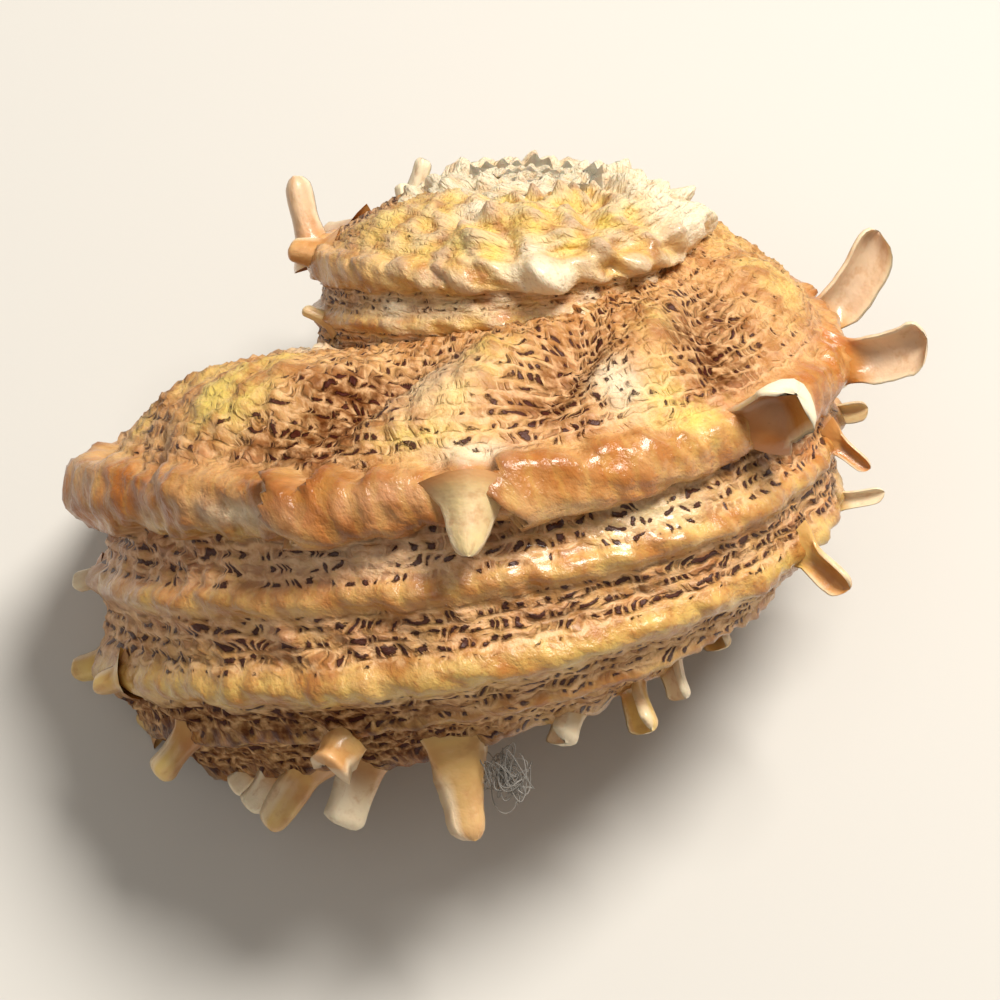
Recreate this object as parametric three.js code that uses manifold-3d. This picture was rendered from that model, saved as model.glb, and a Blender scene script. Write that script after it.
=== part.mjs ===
// Dolphin snail shell: a right-handed coil about 60 mm wide with a flat-topped spire, a spiny
// shoulder keel, four spiral cords, a spiny keel round the open umbilicus and a round mouth.
// The shell grew as one piece, so it is one mesh. It lies on its mouth side, as in the photo.
import * as THREE from "three";
import { mergeVertices } from "three/addons/utils/BufferGeometryUtils.js";
import Module from "manifold-3d";

const wasm = await Module();
wasm.setup();

// Growth of the coil, in mm and degrees. A turn is counted back from the mouth to the apex.
const MOUTH_RADIUS = 30.4; // coil axis to shoulder keel at the mouth
const WHORL_RATE = 1.9; // how much wider the coil gets in one whorl
const MOUTH_DROP = 22.3; // shoulder keel at the mouth, below the top of the spire
const DROP_POWER = 2.35; // the whorls sink faster than they widen
const MOUTH_AZIMUTH = -200; // where the mouth stands round the coil axis
const MOUTH_LINE = -8; // growth line of the lip
const COIL_TURN = 1080; // from the mouth to the worn apex
const GROWTH_SLANT = 0.86; // degrees that a growth line lags for each mm below the shoulder
const LIP_FLARE = { share: 0.03, reach: 40 }; // the last growth is a little wider
const PINCH = { share: 0.07, turn: 400, reach: 80 }; // the spire narrows a little here

// The whorl's section at mouth size, as [out, up] in mm from the shoulder keel.
const SECTION = [
  [-15.6, 9.0], // suture
  [-11.2, 8.5],
  [-6.8, 7.0],
  [-3.0, 4.2],
  [0, 0], // shoulder keel
  [-0.6, -4.0],
  [0.0, -8.0], // upper cord
  [-0.4, -14.6], // middle cord
  [-3.2, -19.0], // lower cord
  [-8.2, -22.4], // umbilical keel
  [-14.0, -21.0],
  [-20.2, -16.5], // umbilical wall
  [-24.2, -9.0],
  [-24.2, -1.0],
  [-19.5, 7.0],
];
const SUTURE = 0;
const SHOULDER = 4;
const UPPER_CORD = 6;
const MIDDLE_CORD = 7;
const LOWER_CORD = 8;
const UMBILICAL_KEEL = 9;
const KEEL_HEIGHTS = new Map([
  [SHOULDER, 1.4],
  [UPPER_CORD, 1.1],
  [MIDDLE_CORD, 1.4],
  [LOWER_CORD, 0.9],
  [UMBILICAL_KEEL, 1.0],
]);
// Each keel's cross-section: mm along the section from its knot, and the share of its height.
const KEEL_PROFILE = [[-1.4, 0], [0, 1], [1.4, 0]];
const LEDGE_PROFILE = [[-2.0, 0], [-0.8, 1], [2.3, 1.2], [3.3, 0]];

// Folds that cross the ramp between the suture and the shoulder: the growth lines of the troughs
// and crests by turns, a trough first, with even ones after them. They slant by some degrees a
// knot. Then the dent behind the tallest spine of the spire.
const FOLD_LINES = [-20, 55, 80, 101, 118, 136, 152, 184];
const FOLD_HALF_PITCH = 28.5;
const FOLD_SLANT = { knot: 2.7, degrees: 8 };
const FOLD_CREST = 1.3;
const FOLD_TROUGH = 2.7;
const DENT = { turn: 364, reach: 26, depth: 2.4 };

// What fills the middle of the spire, in mm on the coil axis.
const APEX_PLUG = { top: -0.2, bottom: -10, topRadius: 4.2, bottomRadius: 4.6 };

// The hollow of the last whorl, as an ellipse in the section.
const MOUTH_CENTRE = [-12.2, -7.6];
const MOUTH_HALF_WIDTH = 10.4;
const MOUTH_HALF_HEIGHT = 12.3;
const HOLLOW_TURN = 200; // how far the hollow runs back from the mouth
const HOLLOW_SIDES = 16;

// Spines that the photo shows, as row, turn, then mm out from the coil axis, up along it and
// forward along the growth, then the width at the foot and at the tip, and the sag of a curved one.
const SEEN_SPINES = [
  [SHOULDER, 22, 1.2, -0.2, 0.8, 4.4, 3.4],
  [SHOULDER, 74, 1.4, -0.6, 0.6, 4.6, 3.2],
  [SHOULDER, 106, 1.7, -3.6, 0.3, 4.2, 1.0],
  [SHOULDER, 150, 3.0, 2.4, 0.9, 5.0, 3.6],
  [SHOULDER, 184, 5.5, 1.3, 0.5, 3.4, 3.8, 0.7],
  [SHOULDER, 215, 4.4, 4.9, 0.8, 3.8, 3.4, 1.6],
  [SHOULDER, 363, 1.8, 4.8, 0.8, 3.0, 1.6, 0.5],
  [SHOULDER, 386, 1.6, 0.4, 0.4, 3.0, 1.8],
  [SHOULDER, 474, 0.6, 1.4, 0.3, 3.8, 2.8],
  [SHOULDER, 716, -0.9, 2.8, 0.2, 1.9, 1.3],
  [UPPER_CORD, 20, 1.4, -0.5, 0.4, 2.0, 1.2],
  [UPPER_CORD, 196, 1.9, 0.4, 0.3, 1.8, 1.2],
  [UPPER_CORD, 180, 2.3, -1.3, 0.3, 2.0, 0.9],
  [UPPER_CORD, 395, 1.2, 0.8, 0.4, 1.6, 0.9],
  [MIDDLE_CORD, 14, 2.1, -0.8, 0.5, 2.8, 2.1],
  [MIDDLE_CORD, 36, 1.3, -0.6, 1.2, 2.4, 1.2],
  [MIDDLE_CORD, 188, 3.1, 0.8, 0.3, 1.8, 0.8],
  [MIDDLE_CORD, 165, 3.2, -1.9, 0.3, 2.6, 1.4],
  [MIDDLE_CORD, 375, 2.6, 0.2, 0.5, 1.8, 0.7],
  [LOWER_CORD, 12, 0.9, 0.6, 0.3, 1.6, 1.0],
  [LOWER_CORD, 42, 2.0, -2.6, 0.4, 2.5, 1.9],
  [LOWER_CORD, 72, 2.2, -1.6, 0.2, 3.6, 3.0],
  [UMBILICAL_KEEL, 42, 1.1, -0.9, 0.2, 2.3, 1.6],
  [UMBILICAL_KEEL, 52, 1.6, -2.4, 0.6, 2.4, 1.8],
  [UMBILICAL_KEEL, 62, 2.4, -3.8, 1.2, 3.2, 2.1],
  [UMBILICAL_KEEL, 77, 2.0, -3.9, 0.3, 3.6, 2.9],
  [UMBILICAL_KEEL, 97, 2.2, -5.6, -1.4, 5.2, 2.3],
  [UMBILICAL_KEEL, 120, 1.4, -1.4, 0.8, 3.0, 2.2],
  [UMBILICAL_KEEL, 135, 2.6, -2.2, 0.2, 2.4, 1.8],
  [UMBILICAL_KEEL, 146, 1.4, -1.9, 0.2, 2.0, 1.4],
];

// Spines that repeat along a row out of sight, from one turn to another a pitch apart, and the
// worn knobs that crown the spire.
const REPEATED_SPINES = [
  { row: SHOULDER, from: 262, to: 340, pitch: 19, shape: [4.2, -0.4, 0.9, 4.0, 2.4] },
  { row: SHOULDER, from: 545, to: 700, pitch: 18, shape: [0.4, 1.5, 0.3, 3.4, 2.2] },
  { row: UPPER_CORD, from: 214, to: 340, pitch: 14, shape: [2.6, 0.2, 0.7, 2.2, 1.1] },
  { row: MIDDLE_CORD, from: 235, to: 345, pitch: 15.7, shape: [2.8, -0.6, 0.7, 2.4, 1.2] },
  { row: LOWER_CORD, from: 222, to: 345, pitch: 24.5, shape: [1.6, -1.4, 0.5, 2.2, 1.2] },
  { row: UMBILICAL_KEEL, from: 162, to: 206, pitch: 14.5, shape: [0.9, -0.8, 0.4, 2.4, 1.8] },
  { row: UMBILICAL_KEEL, from: 222, to: 340, pitch: 16.9, shape: [2.2, -2.8, 0.6, 2.8, 1.9] },
];

// How the coil lies: its axis leans back from the viewer, then a little to the mouth's side.
const LEAN_BACK = 52.8;
const LEAN_TO_MOUTH = 5.75;
const TIP_WEAR = 1.6; // mm worn off the tips that touch the floor

const radians = THREE.MathUtils.degToRad;
const growth = (turn) => WHORL_RATE ** (-turn / 360);
const swell = (offset, reach) => Math.exp(-((offset / reach) ** 2));

// The three directions at a turn: out from the coil axis, up along it, and forward in growth.
function directions(turn) {
  const azimuth = radians(MOUTH_AZIMUTH + turn);
  return {
    out: new THREE.Vector3(Math.cos(azimuth), Math.sin(azimuth), 0),
    up: new THREE.Vector3(0, 0, 1),
    forward: new THREE.Vector3(Math.sin(azimuth), -Math.cos(azimuth), 0),
  };
}

// A point of the section, [out, up], carried round the coil to a turn.
function onCoil(turn, [out, up]) {
  const scale = growth(turn);
  const flare = LIP_FLARE.share * swell(turn, LIP_FLARE.reach);
  const pinch = PINCH.share * swell(turn - PINCH.turn, PINCH.reach);
  const radius = scale * (MOUTH_RADIUS * (1 + flare - pinch) + out);
  const height = scale * up - MOUTH_DROP * scale ** DROP_POWER;
  return directions(turn).out.multiplyScalar(radius).setZ(height);
}

// The same for a growth line, which lags more the lower the point lies.
const onGrowthLine = (line, point) => onCoil(line - GROWTH_SLANT * point[1], point);

const sectionCurve = new THREE.CatmullRomCurve3(
  SECTION.map(([out, up]) => new THREE.Vector3(out, up, 0)),
  true,
  "catmullrom",
  0.5,
);

// The smooth section's point and outward normal at a knot, which may be a fraction.
function sectionAt(knot) {
  const t = ((knot / SECTION.length) % 1 + 1) % 1;
  const point = sectionCurve.getPoint(t);
  const tangent = sectionCurve.getTangent(t);
  return { point, normal: new THREE.Vector3(-tangent.y, tangent.x, 0) };
}

// Counts the folds up to a growth line: even numbers are troughs and odd ones crests.
function foldCount(line) {
  const last = FOLD_LINES.length - 1;
  if (line >= FOLD_LINES[last]) return last + (line - FOLD_LINES[last]) / FOLD_HALF_PITCH;
  const next = Math.max(1, FOLD_LINES.findIndex((turn) => turn > line));
  const before = FOLD_LINES[next - 1];
  return next - 1 + (line - before) / (FOLD_LINES[next] - before);
}

// How far the folds lift or lower the ramp at a knot and a growth line.
function foldRise(knot, line) {
  if (knot <= SUTURE || knot >= SHOULDER) return 0;
  const across = Math.sin((Math.PI * knot) / SHOULDER) ** 2;
  const slanted = line + FOLD_SLANT.degrees * (knot - FOLD_SLANT.knot);
  const wave = -Math.cos(Math.PI * foldCount(slanted));
  const fold = wave > 0 ? FOLD_CREST * wave : -FOLD_TROUGH * Math.abs(wave) ** 1.5;
  return across * (fold * growth(line) ** 0.8 - DENT.depth * swell(line - DENT.turn, DENT.reach));
}

// Where the section gets a vertex, as its knot and its rise in mm: across each keel, and the rest.
function sectionRows() {
  return SECTION.flatMap((_, knot) => {
    const height = KEEL_HEIGHTS.get(knot);
    if (height === undefined) {
      const onRamp = knot > SUTURE && knot < SHOULDER;
      return onRamp ? [{ knot, rise: 0 }, { knot: knot + 0.5, rise: 0 }] : [{ knot, rise: 0 }];
    }
    const knotsPerMm = 0.01 / sectionAt(knot + 0.01).point.distanceTo(sectionAt(knot).point);
    const profile = knot === SHOULDER ? LEDGE_PROFILE : KEEL_PROFILE;
    return profile.map(([mm, share]) => ({ knot: knot + mm * knotsPerMm, rise: height * share }));
  });
}

// One ring of the whorl along a growth line.
function whorlRing(line, rows) {
  return rows.map(({ knot, rise }) => {
    const { point, normal } = sectionAt(knot);
    point.addScaledVector(normal, rise + foldRise(knot, line));
    return onGrowthLine(line, [point.x, point.y]);
  });
}

// A ring of the hollow.
function hollowRing(line) {
  return Array.from({ length: HOLLOW_SIDES }, (_, i) => {
    const angle = (-2 * Math.PI * i) / HOLLOW_SIDES;
    const out = MOUTH_CENTRE[0] + MOUTH_HALF_WIDTH * Math.cos(angle);
    const up = MOUTH_CENTRE[1] + MOUTH_HALF_HEIGHT * Math.sin(angle);
    return onGrowthLine(line, [out, up]);
  });
}

// A manifold solid from points and triangles.
function solid(points, faces) {
  const geometry = new THREE.BufferGeometry().setFromPoints(points);
  geometry.setIndex(faces.flat());
  return closedSolid(geometry);
}

// A manifold solid from a closed geometry, turned to face out.
function closedSolid(geometry) {
  geometry.deleteAttribute("normal");
  geometry.deleteAttribute("uv");
  const merged = mergeVertices(geometry, 1e-4);
  const vertProperties = new Float32Array(merged.attributes.position.array);
  const triVerts = new Uint32Array(merged.index.array);
  const made = new wasm.Manifold(new wasm.Mesh({ numProp: 3, vertProperties, triVerts }));
  if (made.volume() > 0) return made;
  for (let i = 0; i < triVerts.length; i += 3) {
    [triVerts[i + 1], triVerts[i + 2]] = [triVerts[i + 2], triVerts[i + 1]];
  }
  return new wasm.Manifold(new wasm.Mesh({ numProp: 3, vertProperties, triVerts }));
}

// A closed solid through rings of points, with both ends capped to their middles.
function loft(rings) {
  const sides = rings[0].length;
  const points = rings.flat();
  const faces = [];
  for (let r = 0; r + 1 < rings.length; r += 1) {
    for (let i = 0; i < sides; i += 1) {
      const a = r * sides + i;
      const b = r * sides + ((i + 1) % sides);
      faces.push([a, b, b + sides], [a, b + sides, a + sides]);
    }
  }
  const middle = (ring) => ring.reduce((sum, p) => sum.add(p), new THREE.Vector3()).divideScalar(sides);
  const first = points.push(middle(rings[0])) - 1;
  const last = points.push(middle(rings.at(-1))) - 1;
  const lastRing = (rings.length - 1) * sides;
  for (let i = 0; i < sides; i += 1) {
    const j = (i + 1) % sides;
    faces.push([first, j, i], [last, lastRing + i, lastRing + j]);
  }
  return solid(points, faces);
}

// Growth lines from one turn to another, a step apart.
function lines(from, to, step) {
  const count = Math.round((to - from) / step);
  return Array.from({ length: count + 1 }, (_, i) => from + ((to - from) * i) / count);
}

// Lengths of the coil, each short enough not to pass through itself.
const WHORL_LENGTHS = [
  { from: MOUTH_LINE, to: 180, step: 7.5 },
  { from: 180, to: 360, step: 9 },
  { from: 360, to: 540, step: 12 },
  { from: 540, to: 720, step: 18 },
  { from: 720, to: COIL_TURN, step: 36 },
];

function whorls() {
  const rows = sectionRows();
  return WHORL_LENGTHS.map(({ from, to, step }) =>
    loft(lines(from, to, step).map((line) => whorlRing(line, rows))),
  );
}

// A spine: a blade hollowed on the side that faces forward, as each was the lip of the mouth.
const SPINE_ROOT = 1.4; // how deep it starts in the shell
const STRAIGHT_STATIONS = [0, 1];
const CURVED_STATIONS = [0, 0.35, 0.7, 1];
function spine(row, turn, [out, up, forward, footWidth, tipWidth, sag = 0]) {
  const axes = directions(turn);
  const { point, normal } = sectionAt(row);
  point.addScaledVector(normal, KEEL_HEIGHTS.get(row));
  const foot = onCoil(turn, [point.x, point.y]);
  const reach = axes.out
    .clone()
    .multiplyScalar(out)
    .addScaledVector(axes.up, up)
    .addScaledVector(axes.forward, forward);
  const across = reach.clone().cross(axes.forward).normalize();
  const back = across.clone().cross(reach).normalize();
  if (back.dot(axes.forward) > 0) back.negate();
  const root = foot.addScaledVector(reach.clone().normalize(), -SPINE_ROOT);
  const whole = reach.length() + SPINE_ROOT;
  const stations = sag ? CURVED_STATIONS : STRAIGHT_STATIONS;
  return loft(
    stations.map((share) => {
      const half = THREE.MathUtils.lerp(footWidth, tipWidth, share) / 2;
      const centre = root.clone().addScaledVector(reach, (share * whole) / reach.length());
      centre.addScaledVector(axes.up, -4 * sag * share * (1 - share));
      return [
        centre.clone().addScaledVector(across, half),
        centre.clone().addScaledVector(back, half * 0.75 + 0.25),
        centre.clone().addScaledVector(across, -half),
        centre.clone().addScaledVector(back, half * 0.2),
      ];
    }),
  );
}

// A spine of a repeated row, as long as the whorl's growth allows.
function repeatedSpines({ row, from, to, pitch, shape }) {
  return lines(from, to, pitch).map((turn) => {
    const scale = growth(turn) / growth(from);
    return spine(row, turn, shape.map((length) => length * scale));
  });
}

const spines = [
  ...SEEN_SPINES.map(([row, turn, ...shape]) => spine(row, turn, shape)),
  ...REPEATED_SPINES.flatMap(repeatedSpines),
];

// The worn apex fills the middle of the spire down to where the umbilicus ends.
function apexPlug() {
  const { top, bottom, topRadius, bottomRadius } = APEX_PLUG;
  const plug = new THREE.CylinderGeometry(topRadius, bottomRadius, top - bottom, 12);
  plug.rotateX(Math.PI / 2);
  plug.translate(0, 0, (top + bottom) / 2);
  return closedSolid(plug);
}

// The largest closed surface of a solid, without the specks shut in where whorls meet.
function outerSurface(made) {
  return made.decompose().sort((a, b) => b.volume() - a.volume())[0];
}

// Lays the coil on its mouth side, then wears the tips that touch the floor flat at z = 0.
function laidDown(made) {
  const tipped = new THREE.Matrix4()
    .makeRotationY(radians(LEAN_TO_MOUTH))
    .multiply(new THREE.Matrix4().makeRotationX(radians(-LEAN_BACK)));
  const laid = made.transform(tipped.elements);
  const box = laid.boundingBox();
  const middle = [(box.min[0] + box.max[0]) / 2, (box.min[1] + box.max[1]) / 2];
  const floor = box.min[2] + TIP_WEAR;
  return laid.translate([-middle[0], -middle[1], -floor]).trimByPlane([0, 0, 1], 0);
}

const hollow = loft(lines(MOUTH_LINE - 7, HOLLOW_TURN, 11).map(hollowRing));
const coil = [...whorls(), ...spines, apexPlug()].reduce((all, piece) => all.add(piece));
const shellSolid = laidDown(outerSurface(coil.subtract(hollow)));

function meshOf(made, name, material) {
  const { vertProperties, triVerts } = made.getMesh();
  const geometry = new THREE.BufferGeometry();
  geometry.setAttribute("position", new THREE.BufferAttribute(vertProperties, 3));
  geometry.setIndex(new THREE.BufferAttribute(triVerts, 1));
  const mesh = new THREE.Mesh(geometry, material);
  mesh.name = name;
  return mesh;
}

const ochreShell = new THREE.MeshStandardMaterial({ color: 0xc98f52, roughness: 0.45, metalness: 0 });
const group = new THREE.Group();
group.add(meshOf(shellSolid, "shell", ochreShell));

export default group;
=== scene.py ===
"""Dolphin snail shell: the fine surface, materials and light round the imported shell.

The surface follows the same growth formulas as the solid, at a spacing of about 0.4 mm on the side
that the photo shows. All shapes are worked out in mm round the coil axis, then laid down and put in
metres.
"""

from collections import namedtuple

import bpy
import numpy as np
from mathutils import Matrix, Vector


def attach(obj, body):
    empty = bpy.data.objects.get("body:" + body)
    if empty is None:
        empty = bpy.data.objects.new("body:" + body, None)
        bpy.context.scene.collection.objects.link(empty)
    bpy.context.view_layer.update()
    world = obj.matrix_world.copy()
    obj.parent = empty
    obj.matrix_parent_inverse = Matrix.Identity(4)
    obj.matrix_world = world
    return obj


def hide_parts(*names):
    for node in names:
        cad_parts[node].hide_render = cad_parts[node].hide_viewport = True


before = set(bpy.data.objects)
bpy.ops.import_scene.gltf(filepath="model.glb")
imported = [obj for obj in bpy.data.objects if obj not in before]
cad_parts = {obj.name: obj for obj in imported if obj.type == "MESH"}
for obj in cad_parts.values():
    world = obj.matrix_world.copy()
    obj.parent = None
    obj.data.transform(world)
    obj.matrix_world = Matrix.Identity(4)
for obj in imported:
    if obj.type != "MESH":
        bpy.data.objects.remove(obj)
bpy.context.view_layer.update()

# Random draws of the spines and the lint, the same on each run.
RNG = np.random.default_rng(7)

# Growth of the coil, in mm and degrees, as in the solid. A turn is counted back from the mouth.
# The flare of the lip is (share, degrees), and the pinch further back (share, turn, half width).
MOUTH_RADIUS = 30.4
WHORL_RATE = 1.9
MOUTH_DROP = 22.3
DROP_POWER = 2.35
MOUTH_AZIMUTH = -200.0
MOUTH_LINE = -8.0
COIL_TURN = 1080.0
GROWTH_SLANT = 0.86
LIP_FLARE = (0.03, 40.0)
PINCH = (0.07, 400.0, 80.0)

# The whorl's section at mouth size, as (out, up) in mm from the shoulder keel.
SECTION = np.array(
    [
        (-15.6, 9.0),
        (-11.2, 8.5),
        (-6.8, 7.0),
        (-3.0, 4.2),
        (0.0, 0.0),
        (-0.6, -4.0),
        (0.0, -8.0),
        (-0.4, -14.6),
        (-3.2, -19.0),
        (-8.2, -22.4),
        (-14.0, -21.0),
        (-20.2, -16.5),
        (-24.2, -9.0),
        (-24.2, -1.0),
        (-19.5, 7.0),
    ]
)
SHOULDER, UPPER_CORD, MIDDLE_CORD, LOWER_CORD, UMBILICAL_KEEL = 4, 6, 7, 8, 9
KEEL_HEIGHTS = {SHOULDER: 1.4, UPPER_CORD: 1.1, MIDDLE_CORD: 1.4, LOWER_CORD: 0.9, UMBILICAL_KEEL: 1.0}
KEEL_WIDTHS = {SHOULDER: 1.7, UPPER_CORD: 1.1, MIDDLE_CORD: 1.5, LOWER_CORD: 0.8, UMBILICAL_KEEL: 1.1}

# The folds of the ramp, as in the solid: the growth lines of the troughs and crests by turns, then
# even ones. The slant is (knot, degrees a knot), and the dent (turn, half width, depth).
FOLD_LINES = (-20, 55, 80, 101, 118, 136, 152, 184)
FOLD_HALF_PITCH = 28.5
FOLD_SLANT = (2.7, 8.0)
FOLD_CREST = 1.3
FOLD_TROUGH = 2.7
DENT = (364.0, 26.0, 2.4)

# The ledge along the shoulder, from its top to its free lower edge, in mm from the shoulder.
LEDGE_TOP = -1.5
LEDGE_BOTTOM = 2.9

# The hollow of the last whorl.
MOUTH_CENTRE = (-12.2, -7.6)
MOUTH_HALF_SIZE = (10.4, 12.3)
HOLLOW_TURN = 200.0

# How the coil lies, as in the solid, and where its axis ends up, in mm.
LEAN_BACK = 52.8
LEAN_TO_MOUTH = 5.75
PART_OFFSET = (4.1496, 17.8373, 25.7882)


def growth(turn):
    return WHORL_RATE ** (-np.asarray(turn, float) / 360.0)


def coil_radius(turn):
    flare = LIP_FLARE[0] * np.exp(-((turn / LIP_FLARE[1]) ** 2))
    pinch = PINCH[0] * np.exp(-(((turn - PINCH[1]) / PINCH[2]) ** 2))
    return MOUTH_RADIUS * (1 + flare - pinch)


def on_coil(turn, out, up):
    """Points of the section carried round the coil, in mm."""
    scale = growth(turn)
    radius = scale * (coil_radius(turn) + out)
    azimuth = np.radians(MOUTH_AZIMUTH + turn)
    height = scale * up - MOUTH_DROP * scale**DROP_POWER
    return np.stack([radius * np.cos(azimuth), radius * np.sin(azimuth), height], -1)


def turn_of(line, up):
    return line - GROWTH_SLANT * up


def laid_down_matrix():
    """The move from the coil's own axes, in mm, to the part's frame, in metres."""
    tip = Matrix.Rotation(np.radians(LEAN_TO_MOUTH), 4, "Y") @ Matrix.Rotation(
        np.radians(-LEAN_BACK), 4, "X"
    )
    return Matrix.Scale(0.001, 4) @ Matrix.Translation(PART_OFFSET) @ tip


LAID_DOWN = laid_down_matrix()
LAID_DOWN_ARRAY = np.array(LAID_DOWN)


def to_part(points):
    return points @ LAID_DOWN_ARRAY[:3, :3].T + LAID_DOWN_ARRAY[:3, 3]


def to_coil(points):
    inverse = np.linalg.inv(LAID_DOWN_ARRAY)
    return points @ inverse[:3, :3].T + inverse[:3, 3]


# The section as a smooth closed curve, with the length along it from the suture.
KNOT_STEP = 0.002
KNOTS = np.arange(0.0, len(SECTION), KNOT_STEP)


def section_at(knot):
    """Points and outward normals of the section at knots, which may be fractions."""
    knot = np.asarray(knot, float)
    first = np.floor(knot).astype(int)
    t = (knot - first)[..., None]
    before, here, after, beyond = (SECTION[(first + i) % len(SECTION)] for i in (-1, 0, 1, 2))
    start, end = (after - before) / 2, (beyond - here) / 2
    bend = 3 * (after - here) - 2 * start - end
    twist = 2 * (here - after) + start + end
    point = here + start * t + bend * t**2 + twist * t**3
    tangent = start + 2 * bend * t + 3 * twist * t**2
    tangent /= np.linalg.norm(tangent, axis=-1, keepdims=True)
    normal = np.stack([-tangent[..., 1], tangent[..., 0]], -1)
    return point, normal


def section_lengths():
    point, _ = section_at(KNOTS)
    steps = np.linalg.norm(np.diff(point, axis=0, append=point[:1]), axis=1)
    return np.concatenate([[0.0], np.cumsum(steps)[:-1]]), steps.sum()


ACROSS, PERIMETER = section_lengths()


def across_at(knot):
    return float(np.interp(knot, KNOTS, ACROSS))


def knot_at(across):
    return np.interp(across % PERIMETER, ACROSS, KNOTS)


KEEL_ACROSS = {knot: across_at(knot) for knot in KEEL_HEIGHTS}
UMBILICAL_START = KEEL_ACROSS[UMBILICAL_KEEL] + 3.0


# Smooth random fields that repeat the same way on each run.
def wave_field(seed, scale, count=24):
    """A smooth random field of two coordinates, about -1 to 1."""
    rng = np.random.default_rng(seed)
    angle = rng.uniform(0, 2 * np.pi, count)
    size = rng.uniform(0.6, 1.6, count) / scale * 2 * np.pi
    phase = rng.uniform(0, 2 * np.pi, count)
    weight = rng.uniform(0.5, 1.0, count)
    weight /= np.sqrt((weight**2).sum() / 2)

    def field(x, y):
        total = np.zeros(np.broadcast(x, y).shape)
        for a, s, p, w in zip(angle, size, phase, weight):
            total += w * np.cos(x * s * np.cos(a) + y * s * np.sin(a) + p)
        return total / 1.8

    return field


LARGE = wave_field(1, 14.0)
MEDIUM = wave_field(2, 5.0)
SMALL = wave_field(3, 2.2)
EDGE = wave_field(5, 7.0)
LUMPS = wave_field(6, 9.0)


def soft(x, low, high):
    t = np.clip((x - low) / (high - low), 0, 1)
    return t * t * (3 - 2 * t)


def bump(x, centre, half):
    return np.exp(-(((x - centre) / half) ** 2))


def along_of(line):
    """Length along the growth in mm, stretched on the spire so that scales stay near one size."""
    rate = np.log(WHORL_RATE) / 360.0
    return np.radians(MOUTH_RADIUS) * (1 - np.exp(-0.5 * rate * line)) / (0.5 * rate)


def fold_count(line):
    """Counts the folds up to a growth line: even numbers are troughs and odd ones crests."""
    counted = np.interp(line, FOLD_LINES, np.arange(len(FOLD_LINES)))
    return counted + np.clip(line - FOLD_LINES[-1], 0, None) / FOLD_HALF_PITCH


def fold_rise(knot, line):
    """The folds of the ramp, with broad low crests and deeper troughs, and the dent on it."""
    inside = (knot > 0) & (knot < SHOULDER)
    across = np.sin(np.pi * np.clip(knot, 0, SHOULDER) / SHOULDER) ** 2
    wave = -np.cos(np.pi * fold_count(line + FOLD_SLANT[1] * (knot - FOLD_SLANT[0])))
    along = np.where(wave > 0, FOLD_CREST * wave, -FOLD_TROUGH * np.abs(wave) ** 1.5)
    dent = DENT[2] * bump(line, DENT[0], DENT[1])
    return np.where(inside, across * (along * growth(line) ** 0.8 - dent), 0.0)


# The ledge grew as scales, each ending in a lip: the turns of the lips, and how far each stands
# out in mm. The lips that the photo shows come first, then even ones.
LIPS = [(22, 1.0), (74, 1.9), (106, 1.9), (150, 1.0), (166, 0.6), (184, 0.8), (215, 0.8)]
LIPS += [(238 + 19 * i, 0.7) for i in range(7)]
LIPS += [(363 + 27 * i, 0.9) for i in range(15)]
LIP_FADE = 15.0

# The worn knobs round the apex: where they start and end in degrees, their height and their pitch.
CROWN_START = (500.0, 560.0)
CROWN_END = (680.0, 780.0)
CROWN_RISE = 0.9
CROWN_PITCH = 26.0

# The net of spiral threads and growth scales, in mm, and how much each part of it stands out.
THREAD_PITCH = 1.15
SCALE_PITCH = 1.0
THREAD_RISE = 0.2
BEAD_RISE = 0.14
SCALE_RISE = 0.06
WRINKLE_PITCH = 1.7
WRINKLE_RISE = 0.09

# Where the surface changes toward the apex, in degrees: its lumps, colours, pits, and its painted shade
# and dirt.
LUMPY_FROM = (400.0, 500.0)
YELLOWED_FROM = (385.0, 450.0)
WORN_FROM = (515.0, 575.0)
PITLESS_FROM = (560.0, 640.0)
# Where the painted shade and dirt fade out.
SHADE_AND_DIRT_FADE_FROM = (480.0, 560.0)


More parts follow.
